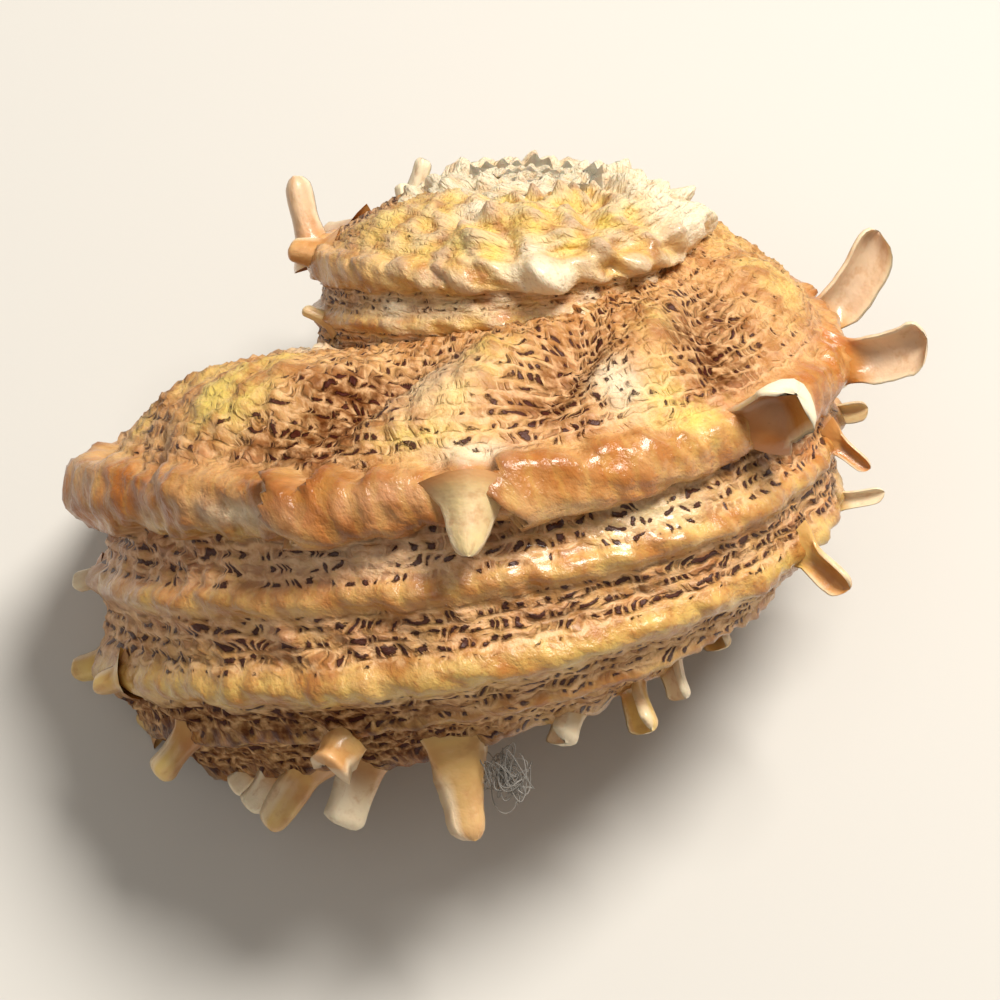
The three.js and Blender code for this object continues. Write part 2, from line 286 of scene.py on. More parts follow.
# Places that differ from the rest of the surface, by what is there: the growth line, the mm
# across, the half sizes in degrees and in mm, and how much. A lump's amount is in mm at mouth size.
PATCHES = {
    "yellow": [
        (58, 10.5, 8, 3.0, 0.9),
        (30, 14.5, 6, 2.2, 0.9),
        (97, 14.8, 8, 1.3, 0.8),
        (138, 16.2, 6, 2.4, 1.4),
        (56, 21.6, 9, 0.8, 0.9),
        (122, 24.5, 14, 1.8, 0.5),
        (460, 14.0, 6, 3.5, 1.0),
        (486, 12.0, 6, 4.0, 1.0),
        (508, 10.0, 6, 4.0, 1.0),
    ],
    "white": [
        (46, 1.5, 9, 1.1, 0.9),
        (99, 9.5, 8, 3.5, 0.35),
        (104, 16.6, 5, 0.9, 0.8),
        (130, 12.5, 4, 2.8, 0.8),
        (66, 20.0, 7, 0.7, 0.7),
        (80, 24.0, 18, 1.5, 0.3),
        # This white patch is partly a painted highlight: white glints on the glossy beads.
        (126, 24.5, 9, 1.2, 0.5),
        (422, 25.0, 5, 1.6, 0.8),
        (454, 6.0, 6, 3.0, 0.9),
        (474, 19.5, 8, 3.2, 1.0),
        (540, 11.0, 16, 9.0, 1.0),
    ],
    "pink": [
        (106, 17.3, 6, 0.8, 0.8),
        (142, 17.6, 7, 1.3, 1.0),
        (464, 25.0, 14, 2.6, 0.9),
        (91, 19.5, 9, 1.6, 0.5),
    ],
    "orange": [
        (110, 6.0, 4, 1.4, 0.9),
        (444, 19.5, 11, 2.2, 0.9),
    ],
    # The dark patches are painted shade: in the troughs of the folds, on and under the ledge, and in the
    # hollow under the spine at 150.
    "dark": [
        (80, 12.0, 6, 4.5, 1.7),
        (71, 15.0, 6, 1.6, 0.6),
        (119, 12.0, 6, 4.0, 0.35),
        (151, 11.5, 5, 4.5, 1.4),
        (55, 19.6, 45, 2.4, 0.4),
        (91, 20.8, 11, 0.9, 0.4),
        (144, 22.6, 7, 1.1, 1.0),
    ],
    "pits": [
        (80, 12.0, 7, 4.5, 0.6),
        (120, 11.0, 7, 4.5, 0.3),
    ],
    "gloss": [
        (126, 24.5, 10, 2.0, 1.0),
        (76, 25.0, 20, 1.2, 0.5),
        (64, 29.5, 20, 1.0, 0.5),
    ],
    "lump": [
        (24, 19.6, 7, 2.4, 1.1),
        (110, 6.0, 4, 1.4, 0.7),
        (422, 25.0, 5, 1.6, 0.8),
        (454, 6.0, 6, 3.0, 0.9),
        (460, 14.0, 6, 3.5, 1.6),
        (474, 19.5, 8, 3.0, 2.4),
        (486, 12.0, 6, 4.0, 1.6),
        (510, 10.0, 6, 4.0, 1.6),
        (536, 12.0, 13, 7.0, 2.6),
    ],
}


def patches(kind, across, line):
    """How much of a kind of patch each point is on, with uneven edges."""
    edge = 1 + 0.3 * SMALL(along_of(line) + 9, across)
    total = np.zeros(np.broadcast(across, line).shape)
    for at_line, at_across, half_line, half_across, amount in PATCHES[kind]:
        reach = ((line - at_line) / half_line) ** 2 + ((across - at_across) / half_across) ** 2
        total = total + amount * np.exp(-reach * edge)
    return total


def lips(across, line):
    """How open the ledge is: sharp at the front of each scale and fading back."""
    rise = np.zeros(np.shape(line))
    for turn, height in LIPS:
        back = line - turn - 1.6 * EDGE(across * 2.5, turn)
        fade = np.exp(-np.clip(back, 0, None) / LIP_FADE) * soft(back, -0.5, 0.1)
        rise = np.maximum(rise, height * fade)
    return rise


def ledge(across, line):
    """The ledge's rise: steep at the top, steeper at its lower edge, with a groove under it."""
    low = across - KEEL_ACROSS[SHOULDER]
    open_part = lips(across, line)
    along = along_of(line)
    bottom = LEDGE_BOTTOM - 0.3 + 0.6 * open_part + 0.45 * MEDIUM(along, 11.0)
    top = LEDGE_TOP + 0.2 + 1.2 * bump(line, 138, 9)
    top = top + 0.7 * MEDIUM(1.4 * along, 3.0) + 0.3 * SMALL(along, across)
    body = soft(low, top - 1.2, top + 0.5) * (1 - soft(low, bottom - 0.1, bottom + 0.5))
    rounding = 1 - 0.18 * ((low - 0.7) / 2.2) ** 2
    groove = bump(low, bottom + 0.9, 0.5) * (line < 360)
    rise = body * (1.05 + open_part) * np.clip(rounding, 0.5, 1) - 0.3 * groove
    return rise + crown(low, line), body


def crown(low, line):
    """The worn knobs that stand on the shoulder near the apex."""
    knob = 0.5 - 0.5 * np.cos(2 * np.pi * (line + 9.0 * LARGE(line * 0.2, low)) / CROWN_PITCH)
    size = CROWN_RISE / growth(line) * (0.4 + 0.6 * knob) * (1 + 0.5 * MEDIUM(line * 0.2, low))
    fade = 1 - 0.75 * soft(line, *CROWN_END)
    return soft(line, *CROWN_START) * fade * size * bump(low, -1.2, 2.8)


def keel_profile(knot, across):
    return bump(across, KEEL_ACROSS[knot], KEEL_WIDTHS[knot])


def cord_share(across, line):
    """How much of a smooth cord or of the ledge a point is on."""
    share = ledge(across, line)[1]
    for knot in KEEL_HEIGHTS:
        if knot != SHOULDER:
            share = np.maximum(share, keel_profile(knot, across))
    return share


def net_place(across, line):
    """Where a point is in the net of threads and growth scales, in whole cells."""
    along = along_of(line)
    slant = 0.32 * across + 0.45 * SMALL(along, across) + 0.9 * MEDIUM(along, across + 31)
    return (along + slant) / SCALE_PITCH, across / THREAD_PITCH + 0.22 * SMALL(along + 50, across)


def relief(knot, across, line):
    """How far the surface stands out of the plain section, in mm at mouth size."""
    along = along_of(line)
    rise = fold_rise(knot, line) + ledge(across, line)[0]
    for keel, height in KEEL_HEIGHTS.items():
        if keel != SHOULDER:
            swell = 1 + 0.2 * MEDIUM(along, 40.0 * keel)
            rise = rise + height * keel_profile(keel, across) * swell
    cords = cord_share(across, line)
    outside = soft(UMBILICAL_START - across, 0, 2) * soft(across, -1, 1)
    scale_place, thread_place = net_place(across, line)
    threads = 0.5 + 0.5 * np.cos(2 * np.pi * thread_place)
    saw = 1 - (scale_place - np.floor(scale_place))
    net = THREAD_RISE * threads + BEAD_RISE * threads * saw + SCALE_RISE * saw
    wrinkle_place = (along + 0.25 * across + 0.9 * MEDIUM(along, across)) / WRINKLE_PITCH
    wrinkle = np.abs(np.sin(np.pi * wrinkle_place)) ** 0.6
    smooth = 0.5 * fold_share(knot, line)[0] + 0.6 * soft(line, 400, 480)
    rise = rise + outside * (1 - 0.85 * cords) * (1 - np.clip(smooth, 0, 0.8)) * net
    rise = rise + outside * cords * WRINKLE_RISE * wrinkle + patches("lump", across, line)
    lumpy = soft(line, *LUMPY_FROM)
    rise = rise + 0.16 * outside * SMALL(along, across) + (0.2 + 0.7 * lumpy) * MEDIUM(along, across)
    rise = rise + 1.5 * lumpy * soft(22 - across, 0, 3) * LUMPS(1.5 * along, across)
    return rise + 0.3 * LARGE(along, across)


def fold_share(knot, line):
    """How much of a crest, and of a trough, a point of the ramp is on."""
    fold = fold_rise(knot, line)
    return soft(fold, 0.2, FOLD_CREST * 0.8), soft(-fold, 0.0, FOLD_TROUGH * 0.6)


def ramp_share(across):
    """How much of the ramp between the suture and the shoulder a point is on."""
    return soft(KEEL_ACROSS[SHOULDER] - 1.5 - across, 0, 2)


def bands_between_cords(across):
    """How much of the band above the upper cord, above the middle one and below it a point is on."""
    upper_start = soft(across, KEEL_ACROSS[SHOULDER] + 2.5, KEEL_ACROSS[SHOULDER] + 3.5)
    upper = upper_start * soft(KEEL_ACROSS[UPPER_CORD] - across, 0.3, 1.3)
    middle_start = soft(across, KEEL_ACROSS[UPPER_CORD] + 0.6, KEEL_ACROSS[UPPER_CORD] + 1.6)
    middle = middle_start * soft(KEEL_ACROSS[MIDDLE_CORD] - across, 0.6, 1.6)
    lower = soft(across, KEEL_ACROSS[MIDDLE_CORD] + 0.6, KEEL_ACROSS[MIDDLE_CORD] + 1.6)
    return upper, middle, lower


def pit_zone(across, line, folds, bands, cords):
    """How deep and dense the pits between the threads are."""
    ramp, crest, valley = folds
    upper, middle, lower = bands
    pits = 0.85 * middle + 0.85 * lower + 0.7 * upper * (1 - 0.5 * soft(line, 390, 420))
    pits = pits + ramp * (0.42 + 0.5 * valley - 0.16 * crest)
    pits = pits * (1 - 0.35 * ramp * soft(line, 150, 180)) + patches("pits", across, line)
    spire_ramp = soft(line, 390, 480) * soft(23 - across, 0, 2)
    pits = pits * (1 - spire_ramp) * (1 - 0.95 * cords)
    return pits * (1 - soft(line, *PITLESS_FROM))


def orange_zone(line, band, cords, upper, broad, patchy):
    """The orange of the ledge, the cords and the stretch behind the long spines."""
    orange = band * (0.4 + 0.35 * soft(broad, 0.2, 0.7) + 0.25 * soft(110 - line, 0, 30))
    orange = orange * (1 - soft(line, 372, 395))
    orange = orange + (cords - band) * (0.25 + 0.35 * (1 - patchy)) * (1 - soft(line, 400, 480))
    return orange + 0.95 * (upper + band) * soft(line, 148, 165) * soft(215 - line, 0, 20)


def zones(knot, across, line):
    """Flesh pink, yellow and worn white, then pits, gloss and orange, each from 0 to 1."""
    along = along_of(line)
    band = ledge(across, line)[1]
    cords = cord_share(across, line)
    patchy = 0.5 + 0.5 * MEDIUM(along, across)
    broad = 0.5 + 0.5 * LARGE(along * 0.8, across + 60)
    ramp = ramp_share(across)
    crest, valley = (ramp * share for share in fold_share(knot, line))
    upper, middle, lower = bands_between_cords(across)
    worn = soft(line, *WORN_FROM)
    yellowed = soft(line, *YELLOWED_FROM)
    pink = 0.2 * patchy + 0.7 * upper * soft(125 - line, -20, 50) + 0.5 * middle * patchy
    pink = pink + 0.25 * valley + 0.4 * ramp * bump(across, KEEL_ACROSS[SHOULDER] - 3.0, 1.4)
    yellow = 0.6 * crest * soft(broad, 0.25, 0.6) + 0.45 * (cords - band) * patchy
    yellow = yellow + 0.35 * bump(across, KEEL_ACROSS[MIDDLE_CORD], 1.4) + 0.35 * yellowed
    yellow = yellow + 0.35 * ramp * soft(line, 190, 210) * (1 - valley)
    white = worn * (0.55 + 0.45 * soft(patchy, 0.2, 0.8)) + 0.4 * yellowed * soft(patchy, 0.2, 0.8)
    pits = pit_zone(across, line, (ramp, crest, valley), (upper, middle, lower), cords)
    gloss = np.clip(cords * 1.2, 0, 1) * (1 - worn) + 0.3 * upper + patches("gloss", across, line)
    orange = orange_zone(line, band, cords, upper, broad, patchy)
    white_patches = patches("white", across, line)
    under_white = 1 - 0.7 * np.clip(white_patches, 0, 1)
    pink = pink * under_white + patches("pink", across, line)
    yellow = (yellow * under_white + patches("yellow", across, line)) * (1 - 0.7 * worn)
    orange = orange * under_white + patches("orange", across, line)
    zone_a = np.stack([pink, yellow, white + white_patches], -1)
    zone_b = np.stack([pits, gloss, orange], -1)
    return np.clip(zone_a, 0, 1), np.clip(zone_b, 0, 1)


def painted_shade_and_dirt(knot, across, line):
    """How darkened a point is by painted shade and dirt: painted shade in the troughs and under the
    ledge, and painted shade with some dirt low down near the mouth.
    """
    along = along_of(line)
    # Painted shade in the troughs of the folds.
    trough = ramp_share(across) * fold_share(knot, line)[1] * (1 - 0.8 * soft(line, 330, 400))
    # The low flank under the middle cord near the mouth: painted shade, with some dirt.
    below = soft(across, KEEL_ACROSS[MIDDLE_CORD] + 1.0, KEEL_ACROSS[MIDDLE_CORD] + 2.4)
    below = below * soft(92 - line, 0, 25) * soft(UMBILICAL_START + 4 - across, 0, 3)
    low = across - KEEL_ACROSS[SHOULDER]
    # Painted shadow under the ledge.
    under = bump(low, LEDGE_BOTTOM + 1.2, 0.9) * (0.5 + 0.5 * MEDIUM(along, 77.0))
    # Darker towards the mouth, plus the dark patches of painted shade.
    near = 0.08 * soft(100 - line, 0, 40) * soft(across, 0, 8)
    near = near + patches("dark", across, line)
    whole = 0.5 * trough + 0.95 * below + 0.3 * under + near
    return np.clip(whole * (1 - 0.9 * soft(line, *SHADE_AND_DIRT_FADE_FROM)), 0, 1)


class Surface:
    """Vertices, faces and their stored values, gathered piece by piece."""

    def __init__(self):
        self.points, self.faces, self.coords, self.net = [], [], [], []
        self.zone_a, self.zone_b = [], []
        self.count = 0

    def add(self, points, faces, coords, zone_a, zone_b, net=None):
        self.points.append(points)
        self.faces.append(np.asarray(faces) + self.count)
        self.coords.append(coords)
        self.net.append(coords if net is None else net)
        self.zone_a.append(zone_a)
        self.zone_b.append(zone_b)
        self.count += len(points)

    def build(self, name):
        points = np.concatenate(self.points)
        faces = np.concatenate(self.faces)
        mesh = bpy.data.meshes.new(name)
        mesh.vertices.add(len(points))
        mesh.vertices.foreach_set("co", to_part(points).ravel())
        mesh.loops.add(len(faces) * 3)
        mesh.loops.foreach_set("vertex_index", faces.ravel())
        mesh.polygons.add(len(faces))
        mesh.polygons.foreach_set("loop_start", np.arange(len(faces)) * 3)
        mesh.polygons.foreach_set("use_smooth", np.ones(len(faces), bool))
        mesh.update(calc_edges=True)
        mesh.validate()
        stored = {"place": self.coords, "net": self.net, "zone_a": self.zone_a, "zone_b": self.zone_b}
        for label, rows in stored.items():
            values = np.concatenate(rows)
            layer = mesh.attributes.new(label, "FLOAT_VECTOR", "POINT")
            layer.data.foreach_set("vector", values.astype(np.float32).ravel())
        piece = bpy.data.objects.new(name, mesh)
        bpy.context.scene.collection.objects.link(piece)
        return piece


def grid_faces(rows, columns, closed, keep=None):
    """Triangles of a grid of points, rows by columns, closed round the columns or not."""
    r, c = np.meshgrid(np.arange(rows - 1), np.arange(columns if closed else columns - 1), indexing="ij")
    a = r * columns + c
    b = r * columns + (c + 1) % columns
    quads = np.stack([a, b, b + columns, a + columns], -1)
    if keep is not None:
        quads = quads[keep]
    quads = quads.reshape(-1, 4)
    return np.concatenate([quads[:, [0, 2, 1]], quads[:, [0, 3, 2]]])


def spaced(stops):
    """Values from stop to stop, each stretch with its own step."""
    values = []
    for (start, step), (end, _) in zip(stops, stops[1:]):
        count = max(1, round((end - start) / step))
        values.extend(start + (end - start) * i / count for i in range(count))
    values.append(stops[-1][0])
    return np.array(values)


# Growth lines of the surface, as where each stretch starts and its step, in degrees. The rows
# between BURIED_ROWS are under the next whorl from BURIED_FROM on, so they have no faces.
LINE_STOPS = [
    (MOUTH_LINE, 1.0),
    (20.0, 0.8),
    (150.0, 0.9),
    (235.0, 1.6),
    (350.0, 1.5),
    (440.0, 1.6),
    (560.0, 2.2),
    (700.0, 4.0),
    (COIL_TURN, 1.0),
]
BURIED_FROM = 352.0
BURIED_ROWS = (KEEL_ACROSS[MIDDLE_CORD] + 2.5, UMBILICAL_START + 3.0)
HOLLOW_STOPS = [(MOUTH_LINE, 1.5), (10.0, 5.0), (HOLLOW_TURN, 1.0)]

# How many rows of the outside meet one row of the inside at the lip.
LIP_ROW_GROUP = 3


def surface_rows():
    """Rows of the surface in mm across, finer where the photo shows them."""
    rows = spaced(
        [
            (0.0, 0.38),
            (KEEL_ACROSS[LOWER_CORD], 0.45),
            (KEEL_ACROSS[UMBILICAL_KEEL] + 2.0, 1.3),
            (PERIMETER, 1.0),
        ]
    )[:-1]
    return rows[: len(rows) // LIP_ROW_GROUP * LIP_ROW_GROUP]


def add_whorls(surface):
    across = surface_rows()
    lines = spaced(LINE_STOPS)
    knot = knot_at(across)
    point, normal = section_at(knot)
    line_grid, across_grid = np.meshgrid(lines, across, indexing="ij")
    knot_grid = np.broadcast_to(knot, line_grid.shape)
    rise = relief(knot_grid, across_grid, line_grid)
    out = point[:, 0] + normal[:, 0] * rise
    up = point[:, 1] + normal[:, 1] * rise
    places = on_coil(turn_of(line_grid, up), out, up)
    zone_a, zone_b = zones(knot_grid, across_grid, line_grid)
    coords = np.stack([along_of(line_grid), across_grid, np.zeros_like(line_grid)], -1)
    # The amount of painted shade and dirt, stored with the net's places.
    dirt = painted_shade_and_dirt(knot_grid, across_grid, line_grid)
    net = np.stack([*net_place(across_grid, line_grid), dirt], -1)
    middle_line = (line_grid[:-1] + line_grid[1:]) / 2
    rows_under = (across_grid[:-1] > BURIED_ROWS[0]) & (across_grid[:-1] < BURIED_ROWS[1])
    buried = (middle_line > BURIED_FROM) & rows_under
    faces = grid_faces(len(lines), len(across), True, ~buried)
    surface.add(
        places.reshape(-1, 3),
        faces,
        coords.reshape(-1, 3),
        zone_a.reshape(-1, 3),
        zone_b.reshape(-1, 3),
        net.reshape(-1, 3),
    )
    return across, point


def hollow_section(outer_section):
    """The ellipse of the hollow, with a point for each group of rows of the outside."""
    centre = np.array(MOUTH_CENTRE)
    half = np.array(MOUTH_HALF_SIZE)
    spokes = outer_section[::LIP_ROW_GROUP] - centre
    angle = np.arctan2(spokes[:, 1] / half[1], spokes[:, 0] / half[0])
    return centre + half * np.stack([np.cos(angle), np.sin(angle)], -1)


def lip_faces(groups, rows, start):
    """Triangles between the outside's first line and the inside's, which begins at start."""
    faces = []
    for g in range(groups):
        a = g * LIP_ROW_GROUP
        inner_here, inner_next = start + g, start + (g + 1) % groups
        for i in range(LIP_ROW_GROUP):
            faces.append((a + i, (a + i + 1) % rows, inner_here))
        faces.append(((a + LIP_ROW_GROUP) % rows, inner_next, inner_here))
    return np.array(faces)


def add_hollow(surface, across, outer_section):
    """The nacre inside, joined to the outer surface round the lip."""
    groups = len(across) // LIP_ROW_GROUP
    inner = hollow_section(outer_section)
    lines = spaced(HOLLOW_STOPS)
    line_grid, up = np.meshgrid(lines, inner[:, 1], indexing="ij")
    out = np.broadcast_to(inner[:, 0], line_grid.shape)
    places = on_coil(turn_of(line_grid, up), out, up).reshape(-1, 3)
    coords = np.zeros((len(places), 3))
    coords[:, 2] = 1.0
    blank = np.zeros((len(places), 3))
    start = surface.count
    surface.add(places, grid_faces(len(lines), groups, True)[:, ::-1], coords, blank, blank)
    lip = lip_faces(groups, len(across), start) - surface.count
    surface.add(blank[:0], lip, blank[:0], blank[:0], blank[:0])
    last = start + (len(lines) - 1) * groups
    cap = [(last + g, surface.count, last + (g + 1) % groups) for g in range(groups)]
    end = places[-groups:].mean(0, keepdims=True)
    surface.add(end, np.array(cap) - surface.count, coords[:1], blank[:1], blank[:1])


# Spines that the photo shows, as in the solid: row, turn, then mm out, up and forward, the width
# at the foot and at the tip, the colour at the tip, the sag, and the roll in degrees.
Spine = namedtuple("Spine", "row turn out up forward foot tip tint sag roll", defaults=(0.0, 0.0))
PEACH, CREAM, OLIVE, TAN, LEMON, WHITE = "peach", "cream", "olive", "tan", "lemon", "white"

# A spine's colours as (pink, yellow, white) and (pits, gloss, orange): at its tip, on the open
# side where that differs, and on its rims.
TINTS = {
    PEACH: ((0.75, 0.0, 0.45), (0.0, 0.45, 0.15)),
    CREAM: ((0.15, 0.15, 0.85), (0.0, 0.35, 0.0)),
    OLIVE: ((0.0, 0.75, 0.1), (0.0, 0.45, 0.1)),
    TAN: ((0.25, 0.2, 0.05), (0.0, 0.5, 0.7)),
    LEMON: ((0.0, 0.95, 0.4), (0.0, 0.4, 0.0)),
    WHITE: ((0.05, 0.1, 1.0), (0.0, 0.2, 0.0)),
}
INSIDES = {
    WHITE: ((0.1, 0.2, 0.0), (0.0, 0.6, 0.9)),
    PEACH: ((0.7, 0.0, 0.55), (0.0, 0.6, 0.0)),
    TAN: ((0.1, 0.1, 0.0), (0.0, 0.5, 0.9)),
}
RIM = ((0.1, 0.05, 0.95), (0.0, 0.4, 0.0))

SEEN_SPINES = [
    Spine(SHOULDER, 102, 2.8, -3.9, -0.4, 6.2, 1.2, LEMON, roll=75),
    Spine(SHOULDER, 150, 3.2, 2.2, 0.9, 4.6, 5.0, WHITE, roll=45),
    Spine(SHOULDER, 184, 5.5, 1.3, 0.5, 3.0, 4.2, PEACH, sag=0.7),
    Spine(SHOULDER, 215, 4.4, 4.9, 0.8, 3.2, 4.1, PEACH, sag=2.0),
    Spine(SHOULDER, 363, 1.8, 4.8, 0.8, 3.2, 1.9, PEACH, sag=0.5),
    Spine(SHOULDER, 386, 1.6, 0.4, 0.4, 3.0, 1.8, TAN),
    Spine(UPPER_CORD, 20, 1.4, -0.5, 0.4, 2.2, 1.4, CREAM),
    Spine(UPPER_CORD, 196, 1.9, 0.4, 0.3, 1.8, 1.4, LEMON),
    Spine(UPPER_CORD, 180, 2.3, -1.3, 0.3, 2.0, 0.9, TAN),
    Spine(UPPER_CORD, 395, 1.2, 0.8, 0.4, 1.6, 0.9, LEMON),
    Spine(MIDDLE_CORD, 14, 2.1, -0.8, 0.5, 2.8, 2.1, OLIVE),
    Spine(MIDDLE_CORD, 36, 1.3, -0.6, 1.2, 2.8, 1.5, OLIVE),
    Spine(MIDDLE_CORD, 188, 3.1, 0.8, 0.3, 1.8, 1.0, CREAM),
    Spine(MIDDLE_CORD, 165, 3.2, -1.9, 0.3, 2.6, 1.8, TAN),
    Spine(MIDDLE_CORD, 375, 2.6, 0.2, 0.5, 1.8, 0.8, LEMON),
    Spine(LOWER_CORD, 12, 0.9, 0.6, 0.3, 1.8, 1.2, OLIVE),
    Spine(LOWER_CORD, 46, 2.0, -2.6, 0.4, 2.6, 2.1, OLIVE),
    Spine(LOWER_CORD, 80, 2.0, -1.2, 0.2, 3.2, 3.0, TAN, roll=80),
    Spine(UMBILICAL_KEEL, 42, 1.1, -0.9, 0.2, 2.6, 1.8, CREAM),
    Spine(UMBILICAL_KEEL, 52, 1.6, -2.4, 0.6, 2.6, 2.0, WHITE),
    Spine(UMBILICAL_KEEL, 62, 2.4, -3.8, 1.2, 3.4, 2.3, OLIVE),
    Spine(UMBILICAL_KEEL, 77, 2.0, -3.9, 0.3, 3.9, 3.2, CREAM),
    Spine(UMBILICAL_KEEL, 97, 2.2, -5.6, -1.4, 5.6, 2.2, OLIVE, roll=35),
    Spine(UMBILICAL_KEEL, 120, 1.4, -1.4, 0.8, 3.2, 2.4, CREAM),
    Spine(UMBILICAL_KEEL, 135, 2.6, -2.2, 0.2, 2.6, 2.0, OLIVE),
    Spine(UMBILICAL_KEEL, 146, 1.4, -1.9, 0.2, 2.2, 1.6, CREAM),
    Spine(SHOULDER, 716, -0.9, 2.8, 0.2, 1.9, 1.3, WHITE),
    Spine(SHOULDER, 729, 0.3, 1.2, 0.2, 1.8, 1.2, WHITE),
]

# Spines that repeat: row, first and last turn, pitch, then the first one's mm and its tint.
REPEATED_SPINES = [
    (SHOULDER, 262, 340, 19, (4.2, -0.4, 0.9, 4.0, 2.8), PEACH),
    (UPPER_CORD, 214, 340, 14, (2.6, 0.2, 0.7, 2.2, 1.3), CREAM),
    (MIDDLE_CORD, 235, 345, 15, (2.8, -0.6, 0.7, 2.4, 1.4), OLIVE),
    (LOWER_CORD, 222, 345, 24.5, (1.6, -1.4, 0.5, 2.2, 1.4), OLIVE),
    (UMBILICAL_KEEL, 162, 206, 14.5, (0.9, -0.8, 0.4, 2.4, 1.8), OLIVE),
    (UMBILICAL_KEEL, 222, 340, 17.4, (2.2, -2.8, 0.6, 2.8, 1.9), OLIVE),
]

# The lint: the spine it is caught on, where from its middle, and its fibres, in mm.
LINT_SPINE = (UMBILICAL_KEEL, 97)
LINT_BESIDE = (2.5, 0.0, -0.2)
LINT_SIZE = np.array([1.4, 1.0, 2.2])
LINT_COUNT = 18
LINT_STEPS = 60
LINT_RADIUS = 0.05
LINT_SIDES = 3

# A spine's form: its root in the shell and the step along it in mm, the roll in degrees beyond
# which it is a flat scale, and how deep its arch is against its half width.
SPINE_ROOT = 1.4
SPINE_STEP = 0.4
SPINE_SIDES = 18
FLAT_ROLL = 60
TIP_SHARES = [0.91, 0.95, 0.98, 1.0]
ARCH_DEPTH = 0.95
SCALE_WALL = 0.4
KNOB_WALL = 0.95


def spine_ring(share, half, wall):
    """A scale's outline: closed at the foot, an arch open forward further out, in mm."""
    angle = np.linspace(0, 2 * np.pi, SPINE_SIDES, endpoint=False)
    across, back = np.cos(angle), np.sin(angle)
    outer = back > 0
    open_part = soft(share, 0.12, 0.5)
    depth = ARCH_DEPTH * half
    wall = np.minimum(wall + 0.12 * half, 0.8 * depth)
    arch = depth * (1 - across**2)
    floor_side = np.where(outer, arch, open_part * (arch - wall) - (1 - open_part) * 0.35 * arch)
    return np.stack([half * across, floor_side - 0.35 * depth], -1)


def spine_axes(turn, reach, roll):
    """The spine's heading and the directions of its width and of its back."""
    azimuth = np.radians(MOUTH_AZIMUTH + turn)
    outward = np.array([np.cos(azimuth), np.sin(azimuth), 0.0])
    onward = np.array([np.sin(azimuth), -np.cos(azimuth), 0.0])
    upward = np.array([0.0, 0.0, 1.0])
    span = reach[0] * outward + reach[1] * upward + reach[2] * onward
    length = np.linalg.norm(span)
    heading = span / length
    across = np.cross(heading, onward)
    across /= np.linalg.norm(across)
    back = np.cross(across, heading)
    if back @ onward > 0:
        back = -back
    lean = np.radians(roll)
    rolled_across = np.cos(lean) * across + np.sin(lean) * back
    rolled_back = np.cos(lean) * back - np.sin(lean) * across
    return length, heading, rolled_across, rolled_back


def spine_sides(rows):
    """Which points of a spine are on its open side, and which on its rims."""
    angle = np.linspace(0, 2 * np.pi, SPINE_SIDES, endpoint=False)
    inner = np.append(np.tile(np.sin(angle) < -0.2, rows), False)
    rim = np.append(np.tile(np.abs(np.cos(angle)) > 0.9, rows), True)
    return inner[:, None] * 1.0, rim[:, None] * 0.55


def spine_half_width(share, foot, tip, flare, wobble):
    half = (foot + (tip - foot) * share) / 2 * (1 - 0.12 * np.sin(np.pi * share))
    half *= 1 + flare * (1 - soft(share, 0.0, 0.34)) + 0.06 * np.sin(9 * share + 6 * wobble)
    return half * np.sqrt(max(0.0, 1 - max(0.0, (share - 0.84) / 0.1602) ** 2.2))


def spine_rings(spine, shares, wobble):
    """The outlines along a spine, with its whole length and whether they wind the other way."""
    point, normal = section_at(spine.row)
    point = point + normal * KEEL_HEIGHTS[spine.row] * 1.1
    foot = on_coil(spine.turn, point[0], point[1])
    reach = (spine.out, spine.up, spine.forward)
    length, heading, across, back = spine_axes(spine.turn, reach, spine.roll)
    flat = spine.roll > FLAT_ROLL
    flare = 0.05 if flat else 0.5 * min(1.0, 3.9 / spine.foot) ** 3
    root = SPINE_ROOT * (0.2 if flat else 1.0)
    whole = length + root
    wall = SCALE_WALL if spine.row == SHOULDER else KNOB_WALL
    rings = []
    for share in shares:
        half = spine_half_width(share, spine.foot, spine.tip, flare, wobble[0])
        ring = spine_ring(share, half, wall)
        centre = foot - heading * root + heading * whole * share
        centre[2] -= 4 * spine.sag * share * (1 - share)
        centre = centre + across * 0.18 * wobble[1] * np.sin(3 * share + 2 * wobble[2])
        ripple = 1 + 0.015 * np.sin(whole * share * 9.0 + 5 * wobble[3])
        rings.append(centre + ring[:, :1] * ripple * across + ring[:, 1:] * ripple * back)
    return rings, whole, np.dot(np.cross(across, back), heading) > 0


def spine_shares(spine):
    """How far along a spine its outlines are, closer together at the rounded tip."""
    length = np.linalg.norm([spine.out, spine.up, spine.forward])
    count = max(7, int(length / SPINE_STEP))
    return np.concatenate([np.linspace(0, 0.86, count), TIP_SHARES])


def spine_zones(spine, share, rows):
    """A spine's colours: the shell's at the foot, its own at the tip, on its inside and rims."""
    flat = spine.roll > FLAT_ROLL
    blend = (soft(share, 0.0, 0.3) if flat else soft(share, 0.2, 0.75))[:, None]
    here = (np.array([float(value)]) for value in (spine.row, KEEL_ACROSS[spine.row], spine.turn))
    root_a, root_b = zones(*here)
    roots = (root_a, root_b * [[0.1, 1, 1]])
    inner, rim = spine_sides(rows)
    open_part = soft(share, 0.3, 0.55)[:, None]
    rim_part = soft(share, 0.1, 0.3)[:, None] * 1.6 if spine.tint == WHITE else open_part
    tip = TINTS[spine.tint]
    made = []
    for root, end, within, edge in zip(roots, tip, INSIDES.get(spine.tint, tip), RIM):
        zone = root * (1 - blend) + np.array(end)[None] * blend
        zone = zone + (np.array(within) - zone) * inner * open_part
        made.append(zone + (np.array(edge) - zone) * rim * rim_part)
    return made


